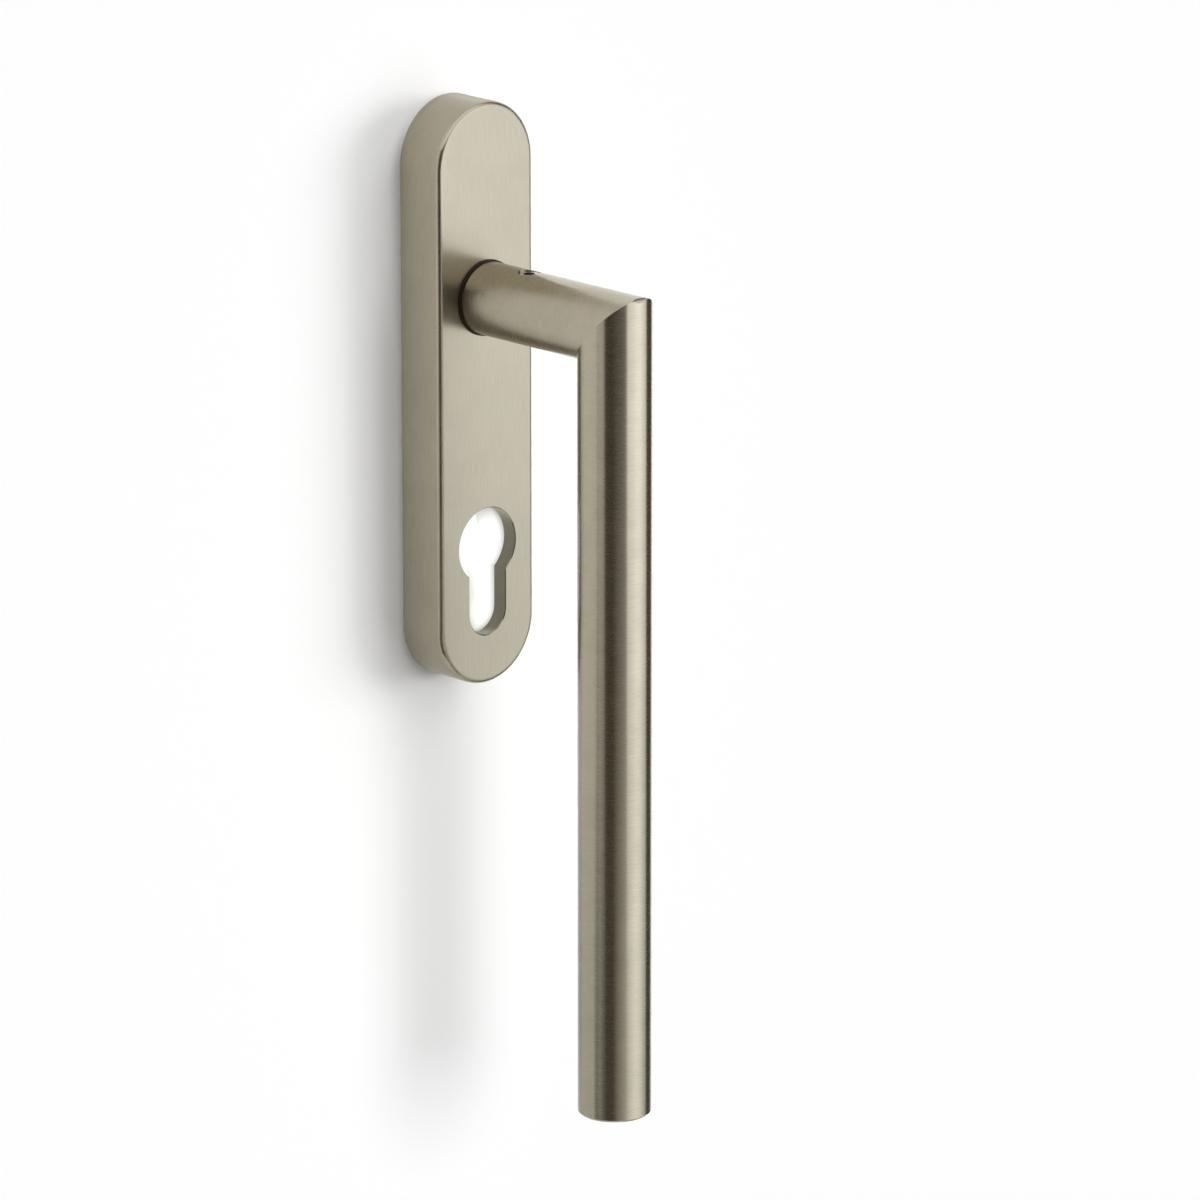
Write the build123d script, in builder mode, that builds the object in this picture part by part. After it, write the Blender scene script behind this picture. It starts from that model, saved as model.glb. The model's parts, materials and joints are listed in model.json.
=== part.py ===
import os

from build123d import *

# Lift and slide door handle: a mitred round bar on a long plate with a profile cylinder cut-out.
# Frame: origin on the spindle axis at the door face, +Z up, +Y into the door, -Y towards the hand.
# "Height" below is the distance out of the door face, along -Y. All sizes are in millimetres.

# Cover plate
plate_width = 34.6
plate_depth = 15.3
plate_edge_radius = 1.4
plate_top_margin = 13.7  # from the upper fixing screw to the plate's top
plate_bottom_margin = 13.7  # from the cut-out's bottom to the plate's bottom
cover_wall = 1.8
cover_collar_depth = 4.5
cover_collar_wall = 1.4
pry_notch_width = 8.0
pry_notch_depth = 1.2

# Profile cylinder cut-out
spindle_to_cylinder = 69.0
cut_circle_radius = 10.4
cut_slot_width = 13.3
cut_height = 35.7
cut_edge_break = 0.2

# Lever bar
bar_radius = 10.0
bar_wall = 1.5
neck_reach = 49.5  # from the plate's face to the grip's axis
grip_drop = 218.9  # from the spindle axis to the grip's end
grip_end_wall = 2.0
grip_end_chamfer = 0.6
mitre_corner_radius = 1.5
neck_end_chamfer = 0.3

# Neck core, spindle and grub screw
core_length = 28.0  # inside the neck
spindle_size = 10.0
spindle_socket_depth = 26.0  # inside the neck
spindle_reach = 50.0  # behind the door face
spindle_chamfer = 0.6
grub_radius = 3.0
grub_from_plate = 16.7  # from the plate's face to the grub screw's axis
grub_length = 5.0
grub_seat_depth = 0.6
grub_key = 3.0
grub_key_depth = 2.0

# Bearing
bush_wall = 1.9
bush_stand_out = 0.6
bush_flange_step = 1.9
bush_flange_thickness = 1.2
bush_spigot_step = 0.7
bearing_plate_thickness = 3.0
bearing_plate_height = 6.0  # of its back, over the door face
thrust_washer_thickness = 1.0
thrust_washer_width = 3.0
spring_washer_thickness = 0.5
spring_washer_rise = 0.4
ring_thickness = 1.0
ring_groove_depth = 0.4
ring_width = 2.0
ring_gap = 4.0
ring_lug_radius = 1.5
ring_lug_hole_radius = 0.7
ring_lug_land = 0.5  # between a lug's hole and the ring's gap
journal_end_height = 1.2

# Fixing screws, sleeves and the small screws of the bearing plate
fixing_spacing = 80.0
fixing_length = 60.0
fixing_radius = 3.0
fixing_shank_radius = 2.7
fixing_head_radius = 6.0
fixing_head_land = 0.2
fixing_key = 4.0
fixing_key_depth = 2.4
fixing_thread_height = -6.0  # where the full thread starts, behind the door face
sleeve_wall = 1.4
plate_screw_radius = 1.5
plate_screw_length = 7.0
plate_screw_head_radius = 2.8
plate_screw_head_height = 1.6
plate_screw_key = 2.0
plate_screw_key_depth = 1.2
plate_screw_x = 8.5
plate_screw_z = 22.0

# Base plate
base_floor = 2.4
base_rim_wall = 2.2
base_rim_height = 9.0
base_hub_wall = 2.0
base_boss_wall = 2.0
plate_screw_boss = 7.0  # side of the square bosses
base_collar_wall = 1.6
base_rib = 1.4
base_rib_drop = 0.6  # how far the ribs end below the bearing plate

# Cover springs
spring_strip = 0.4
spring_length = 16.0
spring_width = 4.0
spring_pocket_depth = 1.2
spring_height = 2.2  # of its lower edge, over the door face
spring_bite = 0.4  # how far the leaf reaches into the cover's groove
spring_upper_z = 27.0
spring_lower_z = -53.0

# Clearances
slip_gap = 0.05  # between pieces that slide together in assembly
running_gap = 0.05  # between the journal and its bush
side_gap = 0.3  # between the mouldings and what they stand in
sink_gap = 0.1  # round screw heads and springs
axial_gap = 0.2  # where the turning pieces face the fixed ones

# Heights and radii worked out from the sizes above
cover_inner_half = plate_width / 2 - cover_wall
plate_top = fixing_spacing / 2 + plate_top_margin
cut_slot_end = -spindle_to_cylinder + cut_circle_radius - cut_height
plate_bottom = cut_slot_end - plate_bottom_margin
bar_bore = bar_radius - bar_wall
journal_radius = bar_bore - slip_gap
bush_bore = journal_radius + running_gap
bush_radius = bush_bore + bush_wall
bush_flange_radius = bush_radius + bush_flange_step
bush_spigot_radius = bush_radius - bush_spigot_step
bush_front = plate_depth + bush_stand_out
neck_end = bush_front + axial_gap
grip_axis_height = plate_depth + neck_reach
grub_height = plate_depth + grub_from_plate
bearing_plate_front = bearing_plate_height + bearing_plate_thickness
washer_bore = journal_radius + slip_gap
washer_radius = journal_radius + thrust_washer_width
base_half_width = cover_inner_half - side_gap
rim_inner_half = base_half_width - base_rim_wall
recess_radius = washer_radius + 3 * side_gap
bearing_plate_half = rim_inner_half - side_gap
base_top = plate_top - cover_wall - side_gap
base_bottom = plate_bottom + cover_wall + side_gap
bearing_plate_end = base_top - base_rim_wall - side_gap
rib_height = bearing_plate_height - base_rib_drop
plate_screw_seat = bearing_plate_front + slip_gap
collar_top = plate_depth - cover_collar_depth - sink_gap
sleeve_bore = fixing_radius + 2 * side_gap
sleeve_radius = sleeve_bore + sleeve_wall
cylinder_slot_centre = cut_slot_end + cut_slot_width / 2
fixing_sink_radius = fixing_head_radius + fixing_head_land + 2 * sink_gap
fixing_hole_radius = fixing_sink_radius - bearing_plate_thickness
ring_bore = journal_radius - ring_groove_depth + slip_gap
ring_radius = ring_bore + ring_width
spring_washer_back = bearing_plate_height - sink_gap - spring_washer_thickness - spring_washer_rise
thrust_washer_back = spring_washer_back - slip_gap - thrust_washer_thickness
ring_back = thrust_washer_back - slip_gap - ring_thickness
socket_end = neck_end + spindle_socket_depth
sides = {"left": -1, "right": 1}
ends = {"upper": 1, "lower": -1}
fixing_places = {end: (0, sign * fixing_spacing / 2) for end, sign in ends.items()}
plate_screw_places = {
    f"{end}_{side}": (x * plate_screw_x, z * plate_screw_z)
    for end, z in ends.items()
    for side, x in sides.items()
}
cover_springs = {
    f"{end}_{side}": (x, z)
    for end, z in {"upper": spring_upper_z, "lower": spring_lower_z}.items()
    for side, x in sides.items()
}

os.makedirs("parts", exist_ok=True)


def out(height):
    """The plane at a height over the door face, facing the hand: local x is X, local y is Z."""
    return Plane.XZ.offset(height)


def turning(x=0.0, z=0.0):
    """The plane through a turned piece's axis: local x is the radius, local y the height."""
    return Plane(origin=(x, 0, z), x_dir=(1, 0, 0), z_dir=(0, 0, -1))


def turning_axis(x=0.0, z=0.0):
    """A turned piece's axis, out of the door face."""
    return Axis((x, 0, z), (0, -1, 0))


def stadium(half_width, top, bottom, mode=Mode.ADD):
    """A round-ended outline between two levels, drawn in the sketch in hand."""
    with Locations((0, (top + bottom) / 2)):
        SlotOverall(top - bottom, 2 * half_width, rotation=90, mode=mode)


def cylinder_outline(grow=0.0):
    """The profile cylinder's outline, grown all round, drawn in the sketch in hand."""
    slot_run = -spindle_to_cylinder - cylinder_slot_centre
    with Locations((0, -spindle_to_cylinder)):
        Circle(cut_circle_radius + grow)
    with Locations((0, cylinder_slot_centre + slot_run / 2)):
        SlotCenterToCenter(slot_run, cut_slot_width + 2 * grow, rotation=90)


def hex_socket(top, key, depth, x=0.0, z=0.0):
    """Cuts a hexagon socket into a screw head whose face is at a height."""
    with BuildSketch(out(top)) as socket:
        with Locations((x, z)):
            RegularPolygon(key / 2, 6, major_radius=False)
    extrude(socket.sketch, amount=-depth, mode=Mode.SUBTRACT)


# Cover plate: a hollow shell with a round front edge, open to the door
with BuildPart() as cover_plate:
    with BuildSketch(out(0)):
        stadium(plate_width / 2, plate_top, plate_bottom)
    extrude(amount=plate_depth)
    door_face = cover_plate.faces().sort_by(Axis.Y)[-1]
    offset(amount=-cover_wall, openings=door_face, kind=Kind.INTERSECTION)
    front_face = cover_plate.faces().sort_by(Axis.Y)[0]
    fillet(front_face.edges(), plate_edge_radius)
    # the collar that frames the cylinder cut-out
    with BuildSketch(out(plate_depth - cover_collar_depth)):
        cylinder_outline(cover_collar_wall)
    extrude(amount=cover_collar_depth - cover_wall / 2)
    with BuildSketch(out(0)):
        cylinder_outline()
        Circle(bush_radius + slip_gap)
    extrude(amount=plate_depth, mode=Mode.SUBTRACT)
    # the cut-out's front edge is broken
    cut_outlines = cover_plate.faces().sort_by(Axis.Y)[0].inner_wires()
    chamfer(cut_outlines.sort_by(Axis.Z)[0].edges(), cut_edge_break)
    # grooves inside the side walls, where the springs snap in
    with BuildSketch(out(spring_height - sink_gap)):
        with Locations((0, spring_upper_z), (0, spring_lower_z)):
            Rectangle(2 * (cover_inner_half + spring_bite + sink_gap), spring_length)
    extrude(amount=spring_width + 2 * sink_gap, mode=Mode.SUBTRACT)
    # a notch in the lower rim to lift the cover off with
    with BuildSketch(out(0)):
        with Locations((0, plate_bottom)):
            Rectangle(pry_notch_width, 4 * cover_wall)
    extrude(amount=pry_notch_depth, mode=Mode.SUBTRACT)
cover_plate.part.label = "cover_plate"
export_step(cover_plate.part, "parts/cover_plate.step")

# Base plate: a moulded carrier with rim, hub, screw bosses, ribs, cylinder collar and spring pockets
cross_rib_levels = (
    fixing_spacing / 2,
    plate_screw_z,
    -plate_screw_z,
    -fixing_spacing / 2,
    -spindle_to_cylinder,
    cylinder_slot_centre,
)
with BuildPart() as base_plate:
    with BuildSketch(out(0)):
        stadium(base_half_width, base_top, base_bottom)
    extrude(amount=base_floor)
    with BuildSketch(out(0)):
        stadium(base_half_width, base_top, base_bottom)
        stadium(rim_inner_half, base_top - base_rim_wall, base_bottom + base_rim_wall, Mode.SUBTRACT)
    extrude(amount=base_rim_height)
    # the hub and the bosses, which the bearing plate sits on
    with BuildSketch(out(0)):
        Circle(recess_radius + base_hub_wall)
        with Locations(*fixing_places.values()):
            Circle(sleeve_radius + base_boss_wall)
        with Locations(*plate_screw_places.values()):
            Rectangle(plate_screw_boss, plate_screw_boss)
    extrude(amount=bearing_plate_height)
    # one rib down the middle and ribs across
    with BuildSketch(out(0)):
        with Locations((0, (base_top + base_bottom) / 2)):
            Rectangle(base_rib, base_top - base_bottom - base_rim_wall)
        with Locations(*[(0, level) for level in cross_rib_levels]):
            Rectangle(2 * rim_inner_half + base_rim_wall, base_rib)
    extrude(amount=rib_height)
    # the collar that carries on the cover's collar round the cylinder
    with BuildSketch(out(0)):
        cylinder_outline(slip_gap + base_collar_wall)
    extrude(amount=collar_top)
    with BuildSketch(out(0)):
        cylinder_outline(slip_gap)
    extrude(amount=plate_depth, mode=Mode.SUBTRACT)
    with BuildSketch(out(0)):
        Circle(recess_radius)
        with Locations(*fixing_places.values()):
            Circle(sleeve_radius + slip_gap)
    extrude(amount=plate_depth, mode=Mode.SUBTRACT)
    with BuildSketch(out(plate_screw_seat - plate_screw_length - side_gap)):
        with Locations(*plate_screw_places.values()):
            Circle(plate_screw_radius + slip_gap)
    extrude(amount=plate_depth, mode=Mode.SUBTRACT)
    # pockets for the cover springs in the rim's outer side
    with BuildSketch(out(spring_height - sink_gap)):
        with Locations(*[(x * base_half_width, z) for x, z in cover_springs.values()]):
            Rectangle(2 * spring_pocket_depth, spring_length + 2 * sink_gap)
    extrude(amount=spring_width + 2 * sink_gap, mode=Mode.SUBTRACT)
base_plate.part.label = "base_plate"
export_step(base_plate.part, "parts/base_plate.step")

# Bearing plate: a flat steel plate with the bush's bore and the screw holes
with BuildPart(out(bearing_plate_front)) as bearing_plate:
    with BuildSketch(out(bearing_plate_height)):
        stadium(bearing_plate_half, bearing_plate_end, -bearing_plate_end)
    extrude(amount=bearing_plate_thickness)
    Hole(bush_spigot_radius + slip_gap)
    with Locations(*fixing_places.values()):
        CounterSinkHole(fixing_hole_radius, fixing_sink_radius, counter_sink_angle=90)
    with Locations(*plate_screw_places.values()):
        Hole(plate_screw_radius + sink_gap)
bearing_plate.part.label = "bearing_plate"
export_step(bearing_plate.part, "parts/bearing_plate.step")

# Bearing bush: a turned nylon bush that stands out of the cover as a dark ring
flange_front = bearing_plate_front + bush_flange_thickness
with BuildPart() as bearing_bush:
    with BuildSketch(turning()):
        with BuildLine():
            Polyline(
                (bush_bore, bearing_plate_height),
                (bush_spigot_radius, bearing_plate_height),
                (bush_spigot_radius, bearing_plate_front),
                (bush_flange_radius, bearing_plate_front),
                (bush_flange_radius, flange_front),
                (bush_radius, flange_front),
                (bush_radius, bush_front),
                (bush_bore, bush_front),
                close=True,
            )
        make_face()
    revolve(axis=turning_axis())
bearing_bush.part.label = "bearing_bush"
export_step(bearing_bush.part, "parts/bearing_bush.step")

# Plate screws: four small screws that hold the bearing plate on the base plate
plate_screw_top = plate_screw_seat + plate_screw_head_height
for place, (x, z) in plate_screw_places.items():
    with BuildPart() as plate_screw:
        with BuildSketch(turning(x, z)):
            with BuildLine():
                Polyline(
                    (0, plate_screw_top),
                    (plate_screw_head_radius, plate_screw_top),
                    (plate_screw_head_radius, plate_screw_seat),
                    (plate_screw_radius, plate_screw_seat),
                    (plate_screw_radius, plate_screw_seat - plate_screw_length),
                    (0, plate_screw_seat - plate_screw_length),
                    close=True,
                )
            make_face()
        revolve(axis=turning_axis(x, z))
        hex_socket(plate_screw_top, plate_screw_key, plate_screw_key_depth, x, z)
    plate_screw.part.label = f"plate_screw_{place}"
    export_step(plate_screw.part, f"parts/plate_screw_{place}.step")

# Fixing screws and the steel sleeves round them
fixing_top = bearing_plate_front - sink_gap
fixing_end = fixing_top - fixing_length
head_bottom = fixing_top - fixing_head_land - (fixing_head_radius - fixing_shank_radius)
for end, (x, z) in fixing_places.items():
    with BuildPart() as fixing_screw:
        with BuildSketch(turning(x, z)):
            with BuildLine():
                Polyline(
                    (0, fixing_top),
                    (fixing_head_radius, fixing_top),
                    (fixing_head_radius, fixing_top - fixing_head_land),
                    (fixing_shank_radius, head_bottom),
                    (fixing_shank_radius, fixing_thread_height),
                    (fixing_radius, fixing_thread_height),
                    (fixing_radius, fixing_end),
                    (0, fixing_end),
                    close=True,
                )
            make_face()
        revolve(axis=turning_axis(x, z))
        hex_socket(fixing_top, fixing_key, fixing_key_depth, x, z)
    fixing_screw.part.label = f"fixing_screw_{end}"
    export_step(fixing_screw.part, f"parts/fixing_screw_{end}.step")

    with BuildPart() as support_sleeve:
        with BuildSketch(out(0)):
            with Locations((x, z)):
                Circle(sleeve_radius)
                Circle(sleeve_bore, mode=Mode.SUBTRACT)
        extrude(amount=bearing_plate_height)
    support_sleeve.part.label = f"support_sleeve_{end}"
    export_step(support_sleeve.part, f"parts/support_sleeve_{end}.step")

# Cover springs: bowed leaves that sit in the base plate's pockets and bite into the cover's grooves
leaf_end = base_half_width - spring_pocket_depth + slip_gap
leaf_crown = cover_inner_half + spring_bite - spring_strip
for place, (x, z) in cover_springs.items():
    low, high = z - spring_length / 2, z + spring_length / 2
    with BuildPart() as cover_spring:
        with BuildSketch(out(spring_height)):
            with BuildLine():
                inner = ThreePointArc((x * leaf_end, low), (x * leaf_crown, z), (x * leaf_end, high))
                outer = ThreePointArc(
                    (x * (leaf_end + spring_strip), low),
                    (x * (leaf_crown + spring_strip), z),
                    (x * (leaf_end + spring_strip), high),
                )
                Line(inner @ 0, outer @ 0)
                Line(inner @ 1, outer @ 1)
            make_face()
        extrude(amount=spring_width)
    cover_spring.part.label = f"cover_spring_{place}"
    export_step(cover_spring.part, f"parts/cover_spring_{place}.step")

# Lever: a round tube from the neck's end to the closed grip end, mitred square at the corner
corner = (0, -grip_axis_height, 0)
with BuildPart() as lever:
    with BuildLine():
        Polyline((0, -neck_end, 0), corner, (0, -grip_axis_height, -grip_drop))
    with BuildSketch(out(neck_end)):
        Circle(bar_radius)
    sweep(transition=Transition.RIGHT)
    chamfer(lever.edges().sort_by(Axis.Z)[0], grip_end_chamfer)
    chamfer(lever.edges().sort_by(Axis.Y)[-1], neck_end_chamfer)
    # the corner of the mitre is eased
    corner_y, corner_z = -grip_axis_height - bar_radius, bar_radius
    with BuildSketch(Plane.YZ):
        with Locations((corner_y, corner_z)):
            Rectangle(2 * mitre_corner_radius, 2 * mitre_corner_radius)
        with Locations((corner_y + mitre_corner_radius, corner_z - mitre_corner_radius)):
            Circle(mitre_corner_radius, mode=Mode.SUBTRACT)
    extrude(amount=bar_radius, both=True, mode=Mode.SUBTRACT)
    # the tube's inside
    with BuildLine():
        Polyline((0, -neck_end, 0), corner, (0, -grip_axis_height, grip_end_wall - grip_drop))
    with BuildSketch(out(neck_end)):
        Circle(bar_bore)
    sweep(transition=Transition.RIGHT, mode=Mode.SUBTRACT)
    # the grub screw's hole in the top of the neck
    with BuildSketch(Plane.XY):
        with Locations((0, -grub_height)):
            Circle(grub_radius + slip_gap)
    extrude(amount=2 * bar_radius, mode=Mode.SUBTRACT)
lever.part.label = "lever"
export_step(lever.part, "parts/lever.step")

# Neck core: turned steel with the journal, the ring's groove and the square socket
core_end = neck_end + core_length
groove_back = ring_back - slip_gap
groove_front = ring_back + ring_thickness + slip_gap
with BuildPart() as neck_core:
    with BuildSketch(turning()):
        with BuildLine():
            Polyline(
                (0, journal_end_height),
                (journal_radius, journal_end_height),
                (journal_radius, groove_back),
                (journal_radius - ring_groove_depth, groove_back),
                (journal_radius - ring_groove_depth, groove_front),
                (journal_radius, groove_front),
                (journal_radius, core_end),
                (0, core_end),
                close=True,
            )
        make_face()
    revolve(axis=turning_axis())
    with BuildSketch(out(0)):
        Rectangle(spindle_size + 2 * slip_gap, spindle_size + 2 * slip_gap)
    extrude(amount=socket_end, mode=Mode.SUBTRACT)
    with BuildSketch(Plane.XY):
        with Locations((0, -grub_height)):
            Circle(grub_radius + slip_gap)
    extrude(amount=bar_radius, mode=Mode.SUBTRACT)
neck_core.part.label = "neck_core"
export_step(neck_core.part, "parts/neck_core.step")

# Spindle: a square bar with eased ends and a seat for the grub screw
with BuildPart() as spindle:
    with BuildSketch(out(-spindle_reach)):
        Rectangle(spindle_size, spindle_size)
    extrude(amount=spindle_reach + socket_end - side_gap)
    end_faces = spindle.faces().filter_by(Axis.Y)
    chamfer(end_faces.edges(), spindle_chamfer)
    with BuildSketch(Plane.XY.offset(spindle_size / 2 - grub_seat_depth)):
        with Locations((0, -grub_height)):
            Circle(grub_radius + slip_gap)
    extrude(amount=spindle_size, mode=Mode.SUBTRACT)
spindle.part.label = "spindle"
export_step(spindle.part, "parts/spindle.step")

# Grub screw: stands on the spindle's seat, under the neck's top
grub_foot = spindle_size / 2 - grub_seat_depth
with BuildPart() as grub_screw:
    with BuildSketch(Plane.XY.offset(grub_foot)):
        with Locations((0, -grub_height)):
            Circle(grub_radius)
    extrude(amount=grub_length)
    with BuildSketch(Plane.XY.offset(grub_foot + grub_length)):
        with Locations((0, -grub_height)):
            RegularPolygon(grub_key / 2, 6, major_radius=False)
    extrude(amount=-grub_key_depth, mode=Mode.SUBTRACT)
grub_screw.part.label = "grub_screw"
export_step(grub_screw.part, "parts/grub_screw.step")

# Spring washer: a coned ring between the bearing plate and the thrust washer
with BuildPart() as spring_washer:
    with BuildSketch(turning()):
        with BuildLine():
            Polyline(
                (washer_bore, spring_washer_back),
                (washer_radius, spring_washer_back + spring_washer_rise),
                (washer_radius, spring_washer_back + spring_washer_rise + spring_washer_thickness),
                (washer_bore, spring_washer_back + spring_washer_thickness),
                close=True,
            )
        make_face()
    revolve(axis=turning_axis())
spring_washer.part.label = "spring_washer"
export_step(spring_washer.part, "parts/spring_washer.step")

# Thrust washer: a flat ring
with BuildPart() as thrust_washer:
    with BuildSketch(out(thrust_washer_back)):
        Circle(washer_radius)
        Circle(washer_bore, mode=Mode.SUBTRACT)
    extrude(amount=thrust_washer_thickness)
thrust_washer.part.label = "thrust_washer"
export_step(thrust_washer.part, "parts/thrust_washer.step")

# Retaining ring: an open ring with two eyed lugs, in the journal's groove
lug_x = ring_gap / 2 + ring_lug_land + ring_lug_hole_radius
lug_z = ring_lug_radius / 2 - ring_radius
lug_places = ((-lug_x, lug_z), (lug_x, lug_z))
with BuildPart() as retaining_ring:
    with BuildSketch(out(ring_back)):
        Circle(ring_radius)
        with Locations(*lug_places):
            Circle(ring_lug_radius)
        Circle(ring_bore, mode=Mode.SUBTRACT)
        with Locations(*lug_places):
            Circle(ring_lug_hole_radius, mode=Mode.SUBTRACT)
        with Locations((0, -ring_radius)):
            Rectangle(ring_gap, 2 * ring_radius, mode=Mode.SUBTRACT)
    extrude(amount=ring_thickness)
retaining_ring.part.label = "retaining_ring"
export_step(retaining_ring.part, "parts/retaining_ring.step")
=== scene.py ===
"""Lift and slide door handle in satin nickel, standing out from a white wall in soft studio light."""

import json
import logging
import math
from dataclasses import dataclass
from enum import Enum
from typing import Any

import bmesh
import bpy
from mathutils import Matrix, Vector

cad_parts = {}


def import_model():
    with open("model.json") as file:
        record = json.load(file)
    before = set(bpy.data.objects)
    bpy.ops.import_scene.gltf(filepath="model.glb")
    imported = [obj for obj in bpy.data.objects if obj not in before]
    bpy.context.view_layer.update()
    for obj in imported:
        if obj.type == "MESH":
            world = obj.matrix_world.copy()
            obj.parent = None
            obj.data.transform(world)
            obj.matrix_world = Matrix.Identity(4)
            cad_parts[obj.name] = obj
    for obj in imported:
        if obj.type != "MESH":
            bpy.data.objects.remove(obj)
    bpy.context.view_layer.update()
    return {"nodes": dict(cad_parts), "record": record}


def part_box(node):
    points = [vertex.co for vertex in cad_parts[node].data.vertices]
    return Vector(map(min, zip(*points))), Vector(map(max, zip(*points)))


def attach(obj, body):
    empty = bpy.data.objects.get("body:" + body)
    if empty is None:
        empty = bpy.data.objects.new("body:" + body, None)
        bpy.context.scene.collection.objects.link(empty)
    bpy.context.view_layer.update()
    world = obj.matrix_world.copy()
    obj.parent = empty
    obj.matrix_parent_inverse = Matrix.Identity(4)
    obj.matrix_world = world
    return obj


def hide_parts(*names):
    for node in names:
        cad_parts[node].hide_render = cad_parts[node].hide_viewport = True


LOG = logging.getLogger("door_handle")
MM = 0.001
BAR_RADIUS = 10.0 * MM
GRIP_AXIS = 64.8 * MM  # from the wall to the middle of the grip
COLLAR_DEPTH = 10.8 * MM  # from the wall to the inner end of the cover's collar
CUT_OUT_MIDDLE = (0.0, 0.0, -0.0764)
CUT_OUT_REACH = (0.0112, 0.0192)  # sideways, and up and down
STEEP_SHARE = 0.5  # a face that looks outward less than this belongs to the cut-out's wall
NOISE_REACH = (0.25, 0.75)  # most of the noise texture lies between these
WHITE = (1.0, 1.0, 1.0, 1.0)
TENT_MIDDLE = (0.0, -0.065)  # the tent and its cards stand round the grip
TENT_PEAK = 3.0  # the strength that the tent's tones are shares of, since a colour ramp ends at one
SAME_PLACE = 0.0001 * MM  # vertices closer than this are one
SHARP_ANGLE = math.radians(32)  # a steeper edge between faces stays sharp

Body = str
Inputs = dict[Any, Any]
Material = bpy.types.Material
Mesh = bmesh.types.BMesh
Node = bpy.types.Node
Piece = bpy.types.Object
Socket = bpy.types.NodeSocket
Tree = bpy.types.NodeTree
Triple = tuple[float, float, float]
Ring = tuple[float, list[float]]  # a place along the screw, and the radius at each side


def linear(hex_colour: str) -> tuple[float, float, float, float]:
    """Turns an sRGB hex colour into the linear colour that a shader socket takes.

    Args:
        hex_colour: Six hex digits, such as "a59e8f".

    Returns:
        Red, green, blue and an alpha of one.
    """
    channels = [int(hex_colour[i : i + 2], 16) / 255 for i in (0, 2, 4)]
    red, green, blue = [c / 12.92 if c <= 0.04045 else ((c + 0.055) / 1.055) ** 2.4 for c in channels]
    return red, green, blue, 1.0


def add_node(tree: Tree, kind: str, inputs: Inputs | None = None, **settings: Any) -> Node:
    """Adds a node with its settings, its values and its links.

    Args:
        tree: The node tree it goes into.
        kind: Blender's name of the node's type.
        inputs: Input name or number to a value, or to the output socket it is linked from.
        **settings: Properties of the node itself.

    Returns:
        The new node.
    """
    made = tree.nodes.new(kind)
    for name, value in settings.items():
        setattr(made, name, value)
    for key, value in (inputs or {}).items():
        if isinstance(value, Socket):
            tree.links.new(value, made.inputs[key])
        else:
            made.inputs[key].default_value = value
    return made


def new_material(name: str) -> tuple[Material, Tree, Node]:
    """Makes an empty node material.

    Args:
        name: The material's name.

    Returns:
        The material, its tree and its output node.
    """
    material = bpy.data.materials.new(name)
    material.use_nodes = True
    tree = material.node_tree
    tree.nodes.clear()
    return material, tree, tree.nodes.new("ShaderNodeOutputMaterial")


@dataclass(frozen=True)
class Fade:
    """A value that changes evenly between two places and stays the same beyond them."""

    start: float
    end: float
    first: float
    last: float

    def of(self, tree: Tree, value: Socket, **settings: Any) -> Socket:
        """Fades a value.

        Args:
            tree: The value's tree.
            value: The value.
            **settings: Properties of the node that fades it.

        Returns:
            The faded value.
        """
        ends = {"Value": value, 1: self.start, 2: self.end, 3: self.first, 4: self.last}
        return add_node(tree, "ShaderNodeMapRange", ends, **settings).outputs[0]


def noise_swing(middle: float, reach: float) -> Fade:
    """Makes the fade that lays a noise pattern evenly round a middle value."""
    return Fade(*NOISE_REACH, middle - reach, middle + reach)


def inside_cut_out(tree: Tree, place: Socket) -> Socket:
    """Marks the inside of the cylinder cut-out, from the cover's face back to the wall.

    Args:
        tree: The material's tree.
        place: The point, in the shared frame.

    Returns:
        One inside, zero elsewhere.
    """
    from_middle = add_node(tree, "ShaderNodeVectorMath", {0: place, 1: CUT_OUT_MIDDLE}, operation="SUBTRACT")
    split = add_node(tree, "ShaderNodeSeparateXYZ", {0: from_middle.outputs[0]})
    within = []
    for axis, reach in zip(("X", "Z"), CUT_OUT_REACH):
        size = add_node(tree, "ShaderNodeMath", {0: split.outputs[axis]}, operation="ABSOLUTE")
        near = add_node(tree, "ShaderNodeMath", {0: size.outputs[0], 1: reach}, operation="LESS_THAN")
        within.append(near.outputs[0])
    return add_node(tree, "ShaderNodeMath", {0: within[0], 1: within[1]}, operation="MULTIPLY").outputs[0]


class Grain(Enum):
    """Which way the brush or the tool went over a metal surface."""

    UPRIGHT = "up and down the plate"
    ROUND_LEVER = "round the neck and round the grip, with the change at the mitre"
    ROUND_GRIP = "round the grip"
    ROUND_SPINDLE_AXIS = "round the spindle axis"
    ALONG_SPINDLE_AXIS = "along the spindle axis"


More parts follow.
